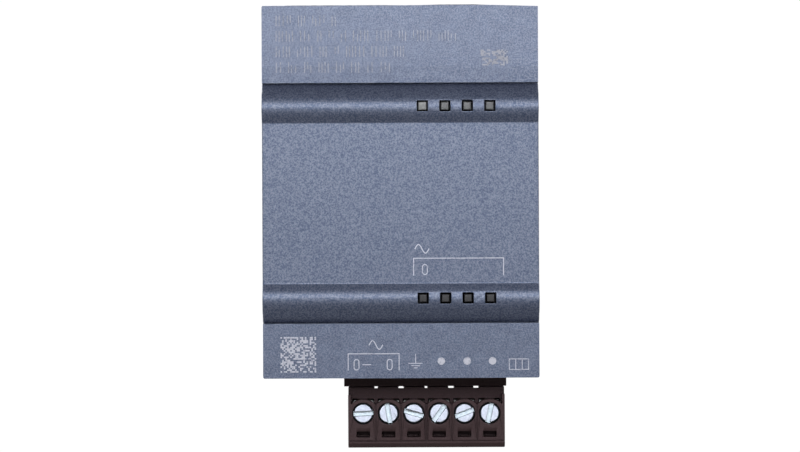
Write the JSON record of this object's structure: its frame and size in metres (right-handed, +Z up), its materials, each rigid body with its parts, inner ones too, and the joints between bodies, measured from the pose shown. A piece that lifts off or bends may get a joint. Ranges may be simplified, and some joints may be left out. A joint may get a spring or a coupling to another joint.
{
  "type": "analogue output module",
  "caption": "Upright plug-in output module with two rounded ribs across its front, small square indicator windows and a pluggable screw-terminal block below.",
  "frame": {"origin": "centre of the flat rear mounting face of the housing", "axes": "+X to the right as seen from the front, +Y out of the rear face, +Z up towards the end without terminals"},
  "size_m": [0.038, 0.025, 0.0612],
  "materials": {
    "housing_plastic": "blue-grey, spark-eroded",
    "rear_plastic": "darker blue-grey, fine matt",
    "light_guide_clear": "translucent, greyish white",
    "light_guide_smoke": "translucent, smoke grey",
    "board_laminate": "green solder mask",
    "led_body": "ivory",
    "terminal_plastic": "brown-black, satin",
    "connector_plastic": "black",
    "tinned_pin": "tinned",
    "gold_pin": "gold flash",
    "chip_plastic": "moulded black",
    "ferrite": "dark ceramic ferrite",
    "copper_winding": "enamelled copper",
    "capacitor_can": "drawn can",
    "ceramic": "fired ceramic",
    "contact_alloy": "tinned copper alloy",
    "screw_steel": "bluish zinc plating",
    "cage_steel": "nickel plated"
  },
  "bodies": {
    "module": {"front_cover": "housing_plastic", "rear_cover": "rear_plastic", "upper_light_guide": "light_guide_clear", "lower_light_guide": "light_guide_smoke", "circuit_board": "board_laminate", "upper_leds": "led_body", "lower_leds": "led_body", "terminal_header": "terminal_plastic", "header_pins": "tinned_pin", "board_connector": "connector_plastic", "board_connector_pins": "gold_pin", "controller_chip": "chip_plastic", "converter_chip": "chip_plastic", "isolator_chip": "chip_plastic", "amplifier_chip": "chip_plastic", "chip_leads": "tinned_pin", "transformer_core": "ferrite", "transformer_coil": "copper_winding", "storage_capacitors": "capacitor_can", "ceramic_capacitors": "ceramic", "resistors": "chip_plastic", "suppressor_diodes": "chip_plastic"},
    "plug": {"plug_housing": "terminal_plastic", "contact_1": "contact_alloy", "contact_2": "contact_alloy", "contact_3": "contact_alloy", "contact_4": "contact_alloy", "contact_5": "contact_alloy", "contact_6": "contact_alloy"},
    "screw_1": {"clamp_screw_1": "screw_steel"},
    "cage_1": {"clamp_cage_1": "cage_steel"},
    "screw_2": {"clamp_screw_2": "screw_steel"},
    "cage_2": {"clamp_cage_2": "cage_steel"},
    "screw_3": {"clamp_screw_3": "screw_steel"},
    "cage_3": {"clamp_cage_3": "cage_steel"},
    "screw_4": {"clamp_screw_4": "screw_steel"},
    "cage_4": {"clamp_cage_4": "cage_steel"},
    "screw_5": {"clamp_screw_5": "screw_steel"},
    "cage_5": {"clamp_cage_5": "cage_steel"},
    "screw_6": {"clamp_screw_6": "screw_steel"},
    "cage_6": {"clamp_cage_6": "cage_steel"}
  },
  "joints": [
    {"name": "plug_slide", "type": "slide", "parent": "module", "child": "plug", "axis": [0, 0, -1], "range_m": [0, 0.012]},
    {"name": "screw_1_spin", "type": "hinge", "parent": "plug", "child": "screw_1", "pos_m": [-0.0053, -0.0165, -0.03063], "axis": [0, 1, 0], "range_deg": [0, 1440]},
    {"name": "cage_1_lift", "type": "slide", "parent": "plug", "child": "cage_1", "axis": [0, -1, 0], "range_m": [0, 0.0016]},
    {"name": "screw_2_spin", "type": "hinge", "parent": "plug", "child": "screw_2", "pos_m": [-0.0018, -0.0165, -0.03063], "axis": [0, 1, 0], "range_deg": [0, 1440]},
    {"name": "cage_2_lift", "type": "slide", "parent": "plug", "child": "cage_2", "axis": [0, -1, 0], "range_m": [0, 0.0016]},
    {"name": "screw_3_spin", "type": "hinge", "parent": "plug", "child": "screw_3", "pos_m": [0.0017, -0.0165, -0.03063], "axis": [0, 1, 0], "range_deg": [0, 1440]},
    {"name": "cage_3_lift", "type": "slide", "parent": "plug", "child": "cage_3", "axis": [0, -1, 0], "range_m": [0, 0.0016]},
    {"name": "screw_4_spin", "type": "hinge", "parent": "plug", "child": "screw_4", "pos_m": [0.0052, -0.0165, -0.03063], "axis": [0, 1, 0], "range_deg": [0, 1440]},
    {"name": "cage_4_lift", "type": "slide", "parent": "plug", "child": "cage_4", "axis": [0, -1, 0], "range_m": [0, 0.0016]},
    {"name": "screw_5_spin", "type": "hinge", "parent": "plug", "child": "screw_5", "pos_m": [0.0087, -0.0165, -0.03063], "axis": [0, 1, 0], "range_deg": [0, 1440]},
    {"name": "cage_5_lift", "type": "slide", "parent": "plug", "child": "cage_5", "axis": [0, -1, 0], "range_m": [0, 0.0016]},
    {"name": "screw_6_spin", "type": "hinge", "parent": "plug", "child": "screw_6", "pos_m": [0.0122, -0.0165, -0.03063], "axis": [0, 1, 0], "range_deg": [0, 1440]},
    {"name": "cage_6_lift", "type": "slide", "parent": "plug", "child": "cage_6", "axis": [0, -1, 0], "range_m": [0, 0.0016]}
  ],
  "couplings": [
    {"joint": "screw_1_spin", "follows": "cage_1_lift", "rad_per_m": 15708},
    {"joint": "screw_2_spin", "follows": "cage_2_lift", "rad_per_m": 15708},
    {"joint": "screw_3_spin", "follows": "cage_3_lift", "rad_per_m": 15708},
    {"joint": "screw_4_spin", "follows": "cage_4_lift", "rad_per_m": 15708},
    {"joint": "screw_5_spin", "follows": "cage_5_lift", "rad_per_m": 15708},
    {"joint": "screw_6_spin", "follows": "cage_6_lift", "rad_per_m": 15708}
  ]
}
